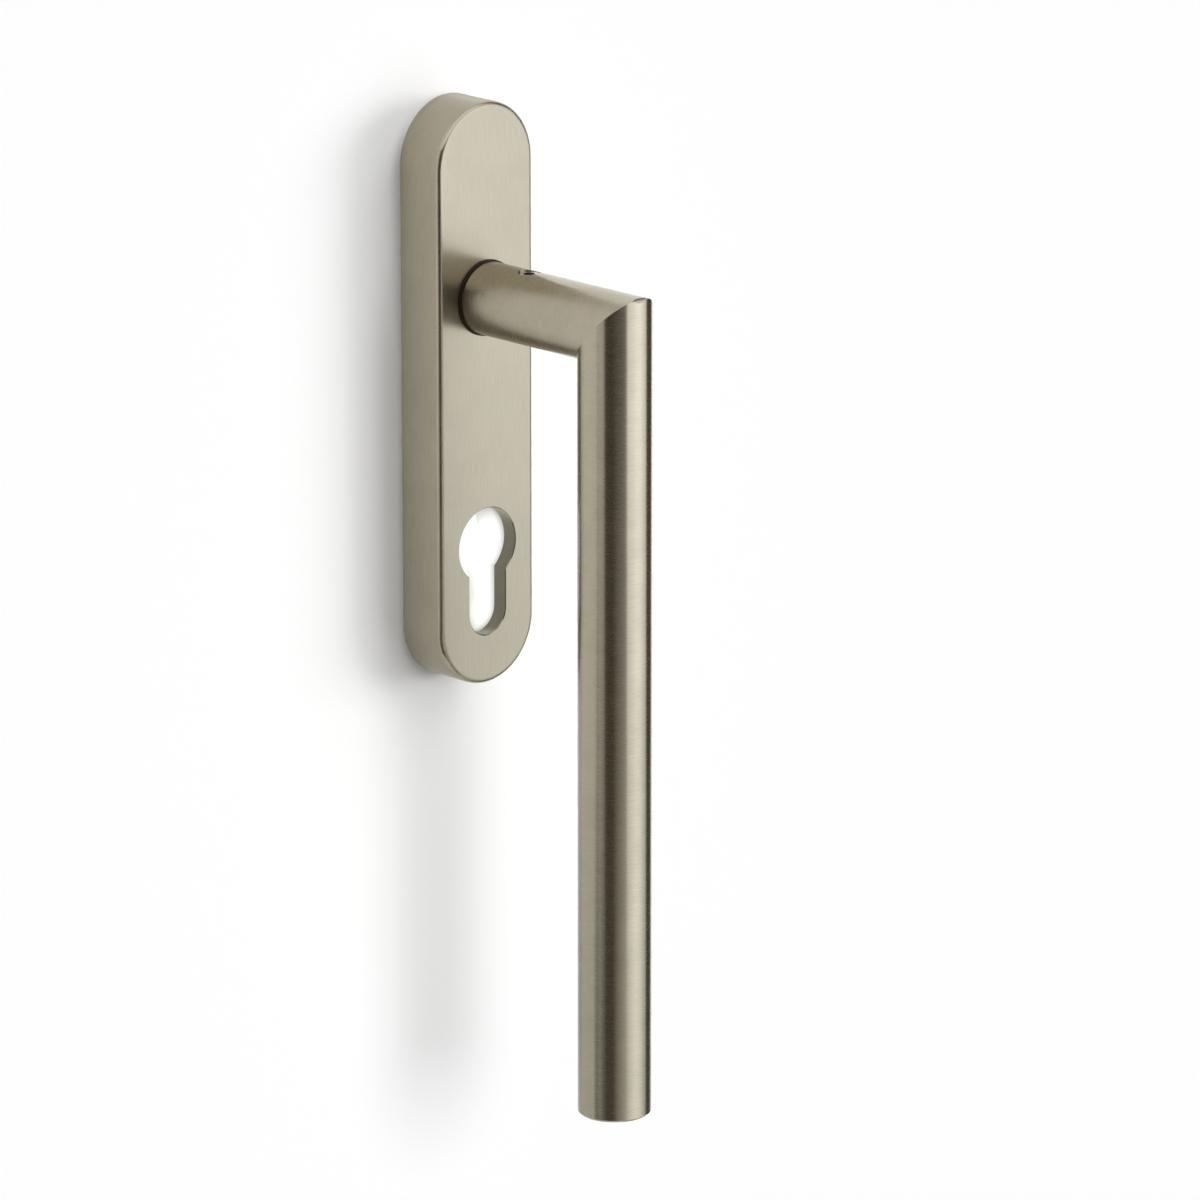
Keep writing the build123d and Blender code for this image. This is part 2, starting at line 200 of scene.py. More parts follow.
@dataclass(frozen=True)
class BrushedMetal:
    """A metal surface with fine lines from a brush, a belt, a lathe or a drawing die.

    The real lines are near 0.05 mm wide. They are drawn as coarse as they need to be to show.
    """

    name: str
    colour: str
    grain: Grain
    roughness: float = 0.3
    roughness_swing: float = 0.03  # from line to line
    anisotropy: float = 0.6
    line_width: float = 0.35  # mm
    line_length: float = 9.0  # mm
    line_contrast: float = 0.06
    line_relief: float = 0.002  # mm
    wander: float = 0.15  # mm that a line strays to the side
    wander_size: float = 3.0  # mm
    scratch_leans: tuple[float, ...] = ()  # radians off the lines
    scratch_edge: tuple[float, float] = (0.64, 0.76)  # the noise where a scratch starts and is full
    scratch_width: float = 0.3  # mm
    scratch_length: float = 6.0  # mm
    scratch_contrast: float = 0.12
    scratch_roughness: float = 0.06
    scratch_relief: float = 0.0001  # mm
    cloud_size: float = 12.0  # mm
    cloud_contrast: float = 0.03
    cut_out_painted_shade: float = 1.0  # tone of the painted shade on the cut-out's wall, against the rest
    edge_polish: float = 0.0  # share of the roughness that is rubbed off rounded edges
    edge_start: tuple[float, float] = (0.05, 0.25)  # how far outward an edge faces next to the sides
    edge_end: tuple[float, float] = (0.9, 0.99)  # and next to the front

    def neck_mask(self, tree: Tree) -> Socket:
        """Tells the neck from the grip by the side of the mitre plane.

        Args:
            tree: The material's tree.

        Returns:
            One on the neck, zero on the grip.
        """
        place = add_node(tree, "ShaderNodeTexCoord").outputs["Object"]
        _, y, z = add_node(tree, "ShaderNodeSeparateXYZ", {0: place}).outputs
        total = add_node(tree, "ShaderNodeMath", {0: y, 1: z}, operation="ADD").outputs[0]
        sides = {0: total, 1: -GRIP_AXIS}
        return add_node(tree, "ShaderNodeMath", sides, operation="GREATER_THAN").outputs[0]

    def line_direction(self, tree: Tree) -> Socket | Triple:
        """Gives the way of the lines at each point, in the piece's own space.

        Args:
            tree: The material's tree.

        Returns:
            A direction or its socket; straight ones lean a little, so that end faces have one too.
        """
        if self.grain is Grain.UPRIGHT:
            return (0.03, 0.05, 1.0)
        if self.grain is Grain.ALONG_SPINDLE_AXIS:
            return (0.03, 1.0, 0.05)
        place = add_node(tree, "ShaderNodeTexCoord").outputs["Object"]
        round_spindle = add_node(
            tree, "ShaderNodeVectorMath", {0: (0, 1, 0), 1: place}, operation="CROSS_PRODUCT"
        ).outputs[0]
        if self.grain is Grain.ROUND_SPINDLE_AXIS:
            return round_spindle
        from_grip = add_node(
            tree, "ShaderNodeVectorMath", {0: place, 1: (0, GRIP_AXIS, 0)}, operation="ADD"
        ).outputs[0]
        round_grip = add_node(
            tree, "ShaderNodeVectorMath", {0: (0, 0, 1), 1: from_grip}, operation="CROSS_PRODUCT"
        ).outputs[0]
        ways = {0: self.neck_mask(tree), 4: round_grip, 5: round_spindle}
        return add_node(tree, "ShaderNodeMix", ways, data_type="VECTOR").outputs[1]

    def tangent(self, tree: Tree) -> Socket:
        """Makes the direction that the reflections are drawn out in, square to the lines.

        Args:
            tree: The material's tree.

        Returns:
            A direction in world space that turns with the piece.
        """
        facing = add_node(tree, "ShaderNodeTexCoord").outputs["Normal"]
        across = add_node(
            tree, "ShaderNodeVectorMath", {0: facing, 1: self.line_direction(tree)}, operation="CROSS_PRODUCT"
        )
        return add_node(
            tree,
            "ShaderNodeVectorTransform",
            {"Vector": across.outputs[0]},
            vector_type="VECTOR",
            convert_from="OBJECT",
            convert_to="WORLD",
        ).outputs["Vector"]

    def way_round(self, tree: Tree, sideways: Socket, upwards: Socket) -> Socket:
        """Measures the way round the bar's skin to a point.

        Args:
            tree: The material's tree.
            sideways: How far the point lies to the side of the bar's axis.
            upwards: How far it lies from the axis the other way.

        Returns:
            The way in metres.
        """
        turn = add_node(tree, "ShaderNodeMath", {0: sideways, 1: upwards}, operation="ARCTAN2").outputs[0]
        return add_node(tree, "ShaderNodeMath", {0: turn, 1: BAR_RADIUS}, operation="MULTIPLY").outputs[0]

    def rolled_out(self, tree: Tree, grain: Grain) -> Socket:
        """Lays the surface out flat, along the lines first and across them second.

        Args:
            tree: The material's tree.
            grain: The way of the lines.

        Returns:
            The place on the flat surface, in metres.
        """
        if grain is Grain.ROUND_LEVER:
            grip = self.rolled_out(tree, Grain.ROUND_GRIP)
            neck = self.rolled_out(tree, Grain.ROUND_SPINDLE_AXIS)
            halves = {0: self.neck_mask(tree), 4: grip, 5: neck}
            return add_node(tree, "ShaderNodeMix", halves, data_type="VECTOR").outputs[1]
        place = add_node(tree, "ShaderNodeTexCoord").outputs["Object"]
        x, y, z = add_node(tree, "ShaderNodeSeparateXYZ", {0: place}).outputs
        if grain is Grain.ROUND_GRIP:
            outward = add_node(tree, "ShaderNodeMath", {0: -GRIP_AXIS, 1: y}, operation="SUBTRACT").outputs[0]
            along = self.way_round(tree, x, outward)
            across = z
        elif grain is Grain.ROUND_SPINDLE_AXIS:
            level = add_node(tree, "ShaderNodeVectorMath", {0: place, 1: (1, 0, 1)}, operation="MULTIPLY")
            radius = add_node(tree, "ShaderNodeVectorMath", {0: level.outputs[0]}, operation="LENGTH")
            along = self.way_round(tree, x, z)
            across = add_node(
                tree, "ShaderNodeMath", {0: y, 1: radius.outputs["Value"]}, operation="ADD"
            ).outputs[0]
        else:
            along, side = (z, y) if grain is Grain.UPRIGHT else (y, z)
            across = add_node(tree, "ShaderNodeMath", {0: x, 1: side}, operation="ADD").outputs[0]
        return add_node(tree, "ShaderNodeCombineXYZ", {0: along, 1: across}).outputs[0]

    def marks(self, tree: Tree, flat: Socket, size: tuple[float, float], lean: float) -> Socket:
        """Makes one set of lines that run one way.

        Args:
            tree: The material's tree.
            flat: The place on the rolled-out surface.
            size: The lines' width and length in millimetres.
            lean: How far they lean, in radians.

        Returns:
            The pattern, from zero to one.
        """
        width, length = size
        leaned = add_node(tree, "ShaderNodeMapping", {"Vector": flat, "Rotation": (0.0, 0.0, lean)})
        squeezed = add_node(
            tree,
            "ShaderNodeMapping",
            {"Vector": leaned.outputs[0], "Scale": (1 / (length * MM), 1 / (width * MM), 1.0)},
        )
        return add_node(
            tree,
            "ShaderNodeTexNoise",
            {"Vector": squeezed.outputs[0], "Scale": 1.0, "Detail": 2.0, "Roughness": 0.55},
        ).outputs["Fac"]

    def scratches(self, tree: Tree, flat: Socket) -> Socket:
        """Makes stray scratches in several ways.

        Args:
            tree: The material's tree.
            flat: The place on the rolled-out surface.

        Returns:
            One in a scratch, zero between them.
        """
        edge = Fade(*self.scratch_edge, 0.0, 1.0)
        cuts = []
        for lean in self.scratch_leans:
            pattern = self.marks(tree, flat, (self.scratch_width, self.scratch_length), lean)
            cuts.append(edge.of(tree, pattern))
        found = cuts[0]
        for cut in cuts[1:]:
            found = add_node(tree, "ShaderNodeMath", {0: found, 1: cut}, operation="MAXIMUM").outputs[0]
        return found

    def outward_share(self, tree: Tree) -> Socket:
        """Tells how far the surface faces the wall or away from it.

        Args:
            tree: The material's tree.

        Returns:
            One on the front and back, zero on the sides.
        """
        facing = add_node(tree, "ShaderNodeTexCoord").outputs["Normal"]
        outward = add_node(tree, "ShaderNodeSeparateXYZ", {0: facing}).outputs["Y"]
        return add_node(tree, "ShaderNodeMath", {0: outward}, operation="ABSOLUTE").outputs[0]

    def painted_cut_out_shade(self, tree: Tree) -> Socket:
        """Makes the painted shade: a darker tone on the wall inside the cut-out, where the hole lies in
        shade.

        Args:
            tree: The material's tree.

        Returns:
            The tone, one outside.
        """
        place = add_node(tree, "ShaderNodeTexCoord").outputs["Object"]
        limit = {0: self.outward_share(tree), 1: STEEP_SHARE}
        steep = add_node(tree, "ShaderNodeMath", limit, operation="LESS_THAN").outputs[0]
        both = {0: steep, 1: inside_cut_out(tree, place)}
        zone = add_node(tree, "ShaderNodeMath", both, operation="MULTIPLY").outputs[0]
        return Fade(0.0, 1.0, 1.0, self.cut_out_painted_shade).of(tree, zone)

    def edge_roughness(self, tree: Tree) -> Socket:
        """Works out how much of the roughness is left where the front turns into the sides.

        Args:
            tree: The material's tree.

        Returns:
            The share that is left, one on flat faces and straight sides.
        """
        share = self.outward_share(tree)
        start = Fade(*self.edge_start, 0.0, 1.0).of(tree, share)
        end = Fade(*self.edge_end, -self.edge_polish, 0.0).of(tree, share)
        edge = {0: start, 1: end, 2: 1.0}
        return add_node(tree, "ShaderNodeMath", edge, operation="MULTIPLY_ADD").outputs[0]

    def material(self) -> Material:
        """Makes the material.

        Returns:
            The material.
        """
        material, tree, output = new_material(self.name)
        place = add_node(tree, "ShaderNodeTexCoord").outputs["Object"]
        stray, clouds = (
            add_node(tree, "ShaderNodeTexNoise", {"Vector": place, "Scale": scale / MM, "Detail": detail})
            for scale, detail in ((1 / self.wander_size, 1.0), (1 / self.cloud_size, 2.0))
        )
        straight = self.rolled_out(tree, self.grain)
        strayed = {0: stray.outputs["Color"], 1: (0.0, 2 * self.wander * MM, 0.0), 2: straight}
        flat = add_node(tree, "ShaderNodeVectorMath", strayed, operation="MULTIPLY_ADD").outputs[0]
        lines = self.marks(tree, flat, (self.line_width, self.line_length), 0.0)
        roughness = noise_swing(self.roughness, self.roughness_swing).of(tree, lines)
        height = add_node(
            tree, "ShaderNodeMath", {0: lines, 1: self.line_relief}, operation="MULTIPLY"
        ).outputs[0]
        patterns = [
            (lines, noise_swing(1.0, self.line_contrast)),
            (clouds.outputs["Fac"], noise_swing(1.0, self.cloud_contrast)),
        ]
        if self.scratch_leans:
            found = self.scratches(tree, flat)
            patterns.append((found, Fade(0.0, 1.0, 1.0, 1.0 + self.scratch_contrast)))
            roughness, height = (
                add_node(
                    tree, "ShaderNodeMath", {0: found, 1: change, 2: base}, operation="MULTIPLY_ADD"
                ).outputs[0]
                for change, base in ((self.scratch_roughness, roughness), (-self.scratch_relief, height))
            )
        tones = [fade.of(tree, pattern) for pattern, fade in patterns]
        # painted shade on the wall inside the cut-out
        if self.cut_out_painted_shade < 1.0:
            tones.append(self.painted_cut_out_shade(tree))
        tone = tones[0]
        for part in tones[1:]:
            tone = add_node(tree, "ShaderNodeMath", {0: tone, 1: part}, operation="MULTIPLY").outputs[0]
        colour = Vector(linear(self.colour)[:3])
        shade = add_node(tree, "ShaderNodeVectorMath", {0: colour, "Scale": tone}, operation="SCALE")
        if self.edge_polish:
            both = {0: roughness, 1: self.edge_roughness(tree)}
            roughness = add_node(tree, "ShaderNodeMath", both, operation="MULTIPLY").outputs[0]
        relief = add_node(tree, "ShaderNodeBump", {"Height": height, "Distance": MM, "Strength": 1.0})
        surface = add_node(
            tree,
            "ShaderNodeBsdfPrincipled",
            {
                "Base Color": shade.outputs[0],
                "Metallic": 1.0,
                "Roughness": roughness,
                "Anisotropic": self.anisotropy,
                "Tangent": self.tangent(tree),
                "Normal": relief.outputs["Normal"],
            },
        )
        tree.links.new(surface.outputs[0], output.inputs["Surface"])
        return material


@dataclass(frozen=True)
class MouldedNylon:
    """Nylon from a mould with a fine spark-eroded grain."""

    name: str
    colour: str
    roughness: float
    grain_size: float = 0.35  # mm
    grain_relief: float = 0.006  # mm
    grain_tone: Fade = Fade(0.3, 0.7, 0.97, 1.03)
    translucency: float = 0.0
    scatter: Triple = (1.2, 1.1, 1.0)  # mm that red, green and blue go through it
    refraction: float = 1.53
    gloss: float = 0.5
    cut_out_painted_shade: float = 1.0  # tone of the painted shade inside the cut-out, next to the cover's collar
    painted_shade_fade: float = 3.0  # mm over which the painted shade fades

    def painted_cut_out_shade(self, tree: Tree, place: Socket) -> Socket:
        """Makes the painted soft shade inside the cut-out, just behind the cover's collar.

        Args:
            tree: The material's tree.
            place: The point, in the shared frame.

        Returns:
            The tone, one outside.
        """
        depth = add_node(tree, "ShaderNodeSeparateXYZ", {0: place}).outputs["Y"]
        fade = Fade(-COLLAR_DEPTH, self.painted_shade_fade * MM - COLLAR_DEPTH, self.cut_out_painted_shade - 1.0, 0.0)
        faded = fade.of(tree, depth, interpolation_type="SMOOTHSTEP")
        inside = {0: faded, 1: inside_cut_out(tree, place), 2: 1.0}
        return add_node(tree, "ShaderNodeMath", inside, operation="MULTIPLY_ADD").outputs[0]

    def material(self) -> Material:
        """Makes the material.

        Returns:
            The material.
        """
        material, tree, output = new_material(self.name)
        place = add_node(tree, "ShaderNodeTexCoord").outputs["Object"]
        grain = add_node(
            tree, "ShaderNodeTexNoise", {"Vector": place, "Scale": 1 / (self.grain_size * MM), "Detail": 2.0}
        ).outputs["Fac"]
        tone = self.grain_tone.of(tree, grain)
        # painted shade inside the cut-out, behind the cover's collar
        if self.cut_out_painted_shade < 1.0:
            both = {0: tone, 1: self.painted_cut_out_shade(tree, place)}
            tone = add_node(tree, "ShaderNodeMath", both, operation="MULTIPLY").outputs[0]
        colour = Vector(linear(self.colour)[:3])
        shade = add_node(tree, "ShaderNodeVectorMath", {0: colour, "Scale": tone}, operation="SCALE")
        relief = add_node(
            tree, "ShaderNodeBump", {"Height": grain, "Distance": self.grain_relief * MM, "Strength": 1.0}
        )
        surface = add_node(
            tree,
            "ShaderNodeBsdfPrincipled",
            {
                "Base Color": shade.outputs[0],
                "Roughness": self.roughness,
                "IOR": self.refraction,
                "Specular IOR Level": self.gloss,
                "Subsurface Weight": self.translucency,
                "Subsurface Radius": Vector(self.scatter) * MM,
                "Subsurface Scale": 1.0,
                "Normal": relief.outputs["Normal"],
            },
        )
        tree.links.new(surface.outputs[0], output.inputs["Surface"])
        return material


@dataclass(frozen=True)
class ShiningCloth:
    """A studio cloth that shines evenly, as the metal sees it."""

    name: str
    colour: Triple
    strength: float = 1.0

    def material(self) -> Material:
        """Makes the material.

        Returns:
            The material.
        """
        material, tree, output = new_material(self.name)
        colour = (*self.colour, 1.0)
        shine = add_node(tree, "ShaderNodeEmission", {"Color": colour, "Strength": self.strength})
        tree.links.new(shine.outputs[0], output.inputs["Surface"])
        return material


class Finishes:
    """Every finish on the handle, by the record's slot name; the bar has its own way of the brush."""

    by_slot: dict[str, BrushedMetal | MouldedNylon] = {
        # satin nickel plate, brushed lengthwise: a warm grey whose reflections blur sideways
        "satin_nickel": BrushedMetal(
            "satin_nickel_brushed_upright",
            "a29b89",
            Grain.UPRIGHT,
            roughness=0.32,
            anisotropy=0.75,
            line_width=0.4,
            line_length=7.0,
            line_contrast=0.08,
            wander=0.25,
            scratch_leans=(0.25, -0.35, 1.1),
            scratch_contrast=-0.06,
            scratch_roughness=0.05,
            scratch_relief=0.0006,
            # painted shade: the cut-out's wall is darkened where shade falls in the hole
            cut_out_painted_shade=0.66,
            edge_polish=0.25,
        ),
        # the same nickel belt-ground round the bar: sharp upright bands that blur along the bar
        "satin_nickel_bar": BrushedMetal(
            "satin_nickel_ground_round_bar",
            "a29b89",
            Grain.ROUND_LEVER,
            roughness=0.245,
            anisotropy=0.85,
            line_width=0.3,
            line_length=5.0,
            line_contrast=0.07,
            line_relief=0.0003,
            scratch_leans=(0.3, 0.55, -0.3),
            cloud_size=7.0,
            cloud_contrast=0.05,
        ),
        # zinc plating, bright and faintly blue
        "zinc_plated_steel": BrushedMetal(
            "zinc_plated_steel", "b4b8bc", Grain.ROUND_SPINDLE_AXIS, roughness=0.32, anisotropy=0.0
        ),
        # free-cutting steel off the lathe: fine rings
        "turned_steel": BrushedMetal(
            "turned_steel", "a9a8a5", Grain.ROUND_SPINDLE_AXIS, roughness=0.28, anisotropy=0.5
        ),
        # cold drawn square bar: faint lines along it
        "drawn_steel": BrushedMetal(
            "cold_drawn_steel", "a3a3a1", Grain.ALONG_SPINDLE_AXIS, roughness=0.33, anisotropy=0.5
        ),
        # stainless steel, clean and neutral
        "stainless_steel": BrushedMetal(
            "stainless_steel", "b0aca3", Grain.ROUND_SPINDLE_AXIS, roughness=0.25, anisotropy=0.0
        ),
        # spring steel, hardened and oiled: dark grey with a slight gloss
        "spring_steel": BrushedMetal(
            "oiled_spring_steel", "66666a", Grain.ROUND_SPINDLE_AXIS, roughness=0.35, anisotropy=0.0
        ),
        # black nylon, turned: brown-black and nearly matt
        "black_nylon": MouldedNylon("black_nylon_turned", "21150a", 0.5, gloss=0.25),
        # white nylon, moulded: soft white with a fine grain, a little light goes into it; painted shade in
        # the cut-out behind the collar
        "white_nylon": MouldedNylon(
            "white_nylon_moulded", "f1f1ee", 0.5, translucency=0.25, cut_out_painted_shade=0.62
        ),
    }

    def __init__(self) -> None:
        """Makes each material once, so that pieces of one finish share it."""
        self.materials = {slot: finish.material() for slot, finish in self.by_slot.items()}

    def dress(self, piece: Piece, slot: str) -> None:
        """Gives a piece its finish.

        Args:
            piece: The piece.
            slot: A name in by_slot.
        """
        piece.data.materials.clear()
        piece.data.materials.append(self.materials[slot])
        LOG.info("dressed %s in %s", piece.name, slot)


def link_mesh(mesh: Mesh, name: str) -> Piece:
    """Turns a bmesh into an object of the scene.

    Args:
        mesh: The mesh in metres, in the shared frame; it is freed.
        name: The object's name.

    Returns:
        The object.
    """
    data = bpy.data.meshes.new(name)
    mesh.to_mesh(data)
    mesh.free()
    made = bpy.data.objects.new(name, data)
    bpy.context.scene.collection.objects.link(made)
    return made


def finish_piece(mesh: Mesh, name: str, body: Body) -> Piece:
    """Turns a piece's bmesh into a smooth object that rides on a body.

    Args:
        mesh: The mesh in metres, in the shared frame; it is freed.
        name: The piece's name.
        body: The CAD body that it moves with.

    Returns:
        The piece.
    """
    bmesh.ops.remove_doubles(mesh, verts=mesh.verts, dist=SAME_PLACE)
    bmesh.ops.recalc_face_normals(mesh, faces=mesh.faces)
    piece = link_mesh(mesh, name)
    piece.data.shade_smooth()
    piece.data.set_sharp_from_angle(angle=SHARP_ANGLE)
    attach(piece, body)
    LOG.info("built %s", name)
    return piece


def skin(mesh: Mesh, rings: list[list[bmesh.types.BMVert]]) -> None:
    """Closes a solid over a row of rings that have as many vertices each.

    Args:
        mesh: The mesh.
        rings: The rings in order; the first and the last become the solid's ends.
    """
    for first, second in zip(rings, rings[1:]):
        for i in range(len(first)):
            j = (i + 1) % len(first)
            mesh.faces.new((first[i], first[j], second[j], second[i]))
    mesh.faces.new(rings[0])
    mesh.faces.new(rings[-1])


@dataclass(frozen=True)
class FixingScrew:
    """An M6 screw with a countersunk head, a hexagon socket and a rolled thread."""

    end: str
    body: Body = "plate"
    head_radius: float = 6.0 * MM
    head_land: float = 0.2 * MM
    head_bevel: tuple[float, float] = (0.15 * MM, 0.1 * MM)  # in from the rim, down from the face
    shank_radius: float = 2.7 * MM
    thread_radius: float = 3.0 * MM
    pitch: float = 1.0 * MM
    thread_depth: float = 0.55 * MM
    crest_end: float = 0.07  # turns from the middle of the crest
    root_start: float = 0.4
    thread_start: float = 6.0 * MM  # behind the door face
    tip_bevel: float = 0.6 * MM
    socket_size: float = 4.0 * MM
    socket_depth: float = 2.4 * MM
    sides: int = 48
    steps_per_pitch: int = 10

    def turns(self) -> list[float]:
        """Gives the angle of each side."""
        return [2 * math.pi * i / self.sides for i in range(self.sides)]

    def thread_height(self, turn: float) -> float:
        """Gives the thread's height over its root at a share of a turn.

        Args:
            turn: Turns past a crest.

        Returns:
            The height as a share of the thread's depth.
        """
        from_crest = abs((turn + 0.5) % 1.0 - 0.5)
        fall = (from_crest - self.crest_end) / (self.root_start - self.crest_end)
        return 1.0 - min(max(fall, 0.0), 1.0)

    def head(self, top: float) -> list[Ring]:
        """Gives the rings of the socket, the head and its cone.

        Args:
            top: The place of the head's face along the screw.

        Returns:
            The rings from the socket's foot to the shank.
        """
        sector = math.pi / 3
        hexagon = [self.socket_size / 2 / math.cos((turn % sector) - sector / 2) for turn in self.turns()]
        inward, down = self.head_bevel
        cone = self.head_radius - self.shank_radius
        return [
            (top + self.socket_depth, hexagon),
            (top, hexagon),
            (top, [self.head_radius - inward] * self.sides),
            (top + down, [self.head_radius] * self.sides),
            (top + self.head_land, [self.head_radius] * self.sides),
            (top + self.head_land + cone, [self.shank_radius] * self.sides),
        ]

    def thread(self, tip: float) -> list[Ring]:
        """Gives the rings of the thread, which starts out of the shank and ends in a bevel.

        Args:
            tip: The place of the screw's tip.

        Returns:
            The rings from the thread's start to the tip.
        """
        length = tip - self.thread_start
        root = self.thread_radius - self.thread_depth
        steps = int(length / (self.pitch / self.steps_per_pitch))
        rings = []
        for step in range(steps + 1):
            y = self.thread_start + length * step / steps
            run_in = min((y - self.thread_start) / self.pitch, 1.0)
            bevel = self.thread_radius - max(0.0, y - (tip - self.tip_bevel))
            radii = []
            for side in range(self.sides):
                thread = root + self.thread_depth * self.thread_height(y / self.pitch - side / self.sides)
                radii.append(min(self.shank_radius + (thread - self.shank_radius) * run_in, bevel))
            rings.append((y, radii))
        return rings

    def build(self) -> Piece:
        """Builds the screw round the CAD screw's axis, from its head to its tip.

        Returns:
            The screw, which replaces the plain CAD screw.
        """
        low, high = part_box(f"fixing_screw_{self.end}")
        axis_x, axis_z = (low.x + high.x) / 2, (low.z + high.z) / 2
        mesh = bmesh.new()
        rings = []
        for y, radii in self.head(low.y) + self.thread(high.y):
            around = zip(radii, self.turns())
            places = [(axis_x + r * math.cos(turn), y, axis_z + r * math.sin(turn)) for r, turn in around]
            rings.append([mesh.verts.new(place) for place in places])
        skin(mesh, rings)
        piece = finish_piece(mesh, f"threaded_fixing_screw_{self.end}", self.body)
        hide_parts(f"fixing_screw_{self.end}")
        return piece

    def dress(self, piece: Piece, finishes: Finishes) -> None:
        """Gives the screw its zinc plating."""
        finishes.dress(piece, "zinc_plated_steel")


@dataclass(frozen=True)
class MitreWeld:
    """The ground weld that rounds the inner corner of the mitre."""

    body: Body = "lever"
    weld_radius: float = 1.8 * MM
    least_radius: float = 0.02 * MM  # where it runs out at the sides
    reach: float = 9.5 * MM
    sink: float = 0.4 * MM
    slices: int = 40
    arc_steps: int = 8

    def build(self) -> Piece:
        """Builds the weld slice by slice across the bar.

        Returns:
            The weld.
        """
        mesh = bmesh.new()
        sections = []
        for i in range(self.slices + 1):
            turn = math.pi * i / self.slices
            x = -self.reach * math.cos(turn)
            drop = math.sqrt(BAR_RADIUS**2 - x**2)
            radius = max(self.weld_radius * math.sin(turn), self.least_radius)
            corner_y, corner_z = drop - GRIP_AXIS, -drop
            points = []
            for step in range(self.arc_steps + 1):
                swing = math.pi / 2 * step / self.arc_steps
                y = corner_y + radius * (1 - math.sin(swing))
                z = corner_z - radius * (1 - math.cos(swing))
                points.append((x, y, z))
            points.append((x, corner_y - self.sink, corner_z + self.sink))
            sections.append([mesh.verts.new(point) for point in points])
        skin(mesh, sections)
        return finish_piece(mesh, "mitre_weld", self.body)

    def dress(self, piece: Piece, finishes: Finishes) -> None:
        """Gives the weld the bar's ground nickel."""
        finishes.dress(piece, "satin_nickel_bar")


@dataclass
class PlateAssembly:
    """The long plate: cover, carrier, bearing plate, bush, sleeves, springs and screws."""

    finishes: Finishes
    nodes: dict[str, Piece]
    screws: tuple[FixingScrew, ...] = (FixingScrew("upper"), FixingScrew("lower"))

    def build(self) -> None:
        """Builds and dresses the fixing screws with their threads."""
        for screw in self.screws:
            screw.dress(screw.build(), self.finishes)

    def dress(self) -> None:
        """Gives every carried-over node of the plate its finish."""
        own = {"cover_plate": "satin_nickel", "base_plate": "white_nylon", "bearing_bush": "black_nylon"}
        for name, node in self.nodes.items():
            usual = "spring_steel" if name.startswith("cover_spring") else "zinc_plated_steel"
            self.finishes.dress(node, own.get(name, usual))


@dataclass
class LeverAssembly:
    """The turning lever with its core, spindle, grub screw and rings."""

    finishes: Finishes
    nodes: dict[str, Piece]
    weld: MitreWeld = MitreWeld()

    def build(self) -> None:
        """Builds and dresses the weld in the mitre."""
        self.weld.dress(self.weld.build(), self.finishes)

    def dress(self) -> None:
        """Gives every carried-over node of the lever its finish."""
        own = {
            "lever": "satin_nickel_bar",
            "neck_core": "turned_steel",
            "spindle": "drawn_steel",
            "grub_screw": "stainless_steel",
        }
        for name, node in self.nodes.items():
            self.finishes.dress(node, own.get(name, "spring_steel"))


def only_reflected(card: Piece, shader: Material) -> None:
    """Dresses a card that nothing but reflections see, and stages it.

    Args:
        card: The card.
        shader: What it shines with.
    """
    card.data.materials.append(shader)
    card.visible_camera = False
    card.visible_diffuse = False
    card.visible_shadow = False
    card.visible_transmission = False


@dataclass(frozen=True)
class StudioCard:
    """An upright curved card round the handle that only reflections see."""

    name: str
    start_deg: float
    end_deg: float
    radius: float
    low: float
    high: float
    sections: int = 24

    def build(self, shader: Material) -> None:
        """Builds the card.

        Args:
            shader: What it shines with.
        """
        mesh = bmesh.new()
        layer = mesh.loops.layers.uv.new("card")
        columns = []
        for i in range(self.sections + 1):
            share = i / self.sections
            angle = math.radians(self.start_deg + (self.end_deg - self.start_deg) * share)
            x = TENT_MIDDLE[0] + self.radius * math.cos(angle)
            y = TENT_MIDDLE[1] + self.radius * math.sin(angle)
            columns.append((share, mesh.verts.new((x, y, self.low)), mesh.verts.new((x, y, self.high))))
        for (share, a, b), (other, c, d) in zip(columns, columns[1:]):
            face = mesh.faces.new((a, c, d, b))
            for loop, at in zip(face.loops, ((share, 0), (other, 0), (other, 1), (share, 1))):
                loop[layer].uv = at
        only_reflected(link_mesh(mesh, self.name), shader)


@dataclass(frozen=True)
class StudioSheet:
    """A level sheet over the handle that only reflections see."""

    name: str
    left: float
    right: float
    front: float
    back: float
    level: float

    def build(self, shader: Material) -> None:
        """Builds the sheet.

        Args:
            shader: What it shines with.
        """
        mesh = bmesh.new()
        corners = (
            (self.left, self.front),
            (self.right, self.front),
            (self.right, self.back),
            (self.left, self.back),
        )
        mesh.faces.new([mesh.verts.new((x, y, self.level)) for x, y in corners])
        only_reflected(link_mesh(mesh, self.name), shader)


@dataclass(frozen=True)
class Tone:
    """What the metal sees in one compass direction round the grip, against a white of one."""

    bearing: float  # degrees, 270 is straight out of the wall and 360 is to the right
    red: float
    green: float
    blue: float


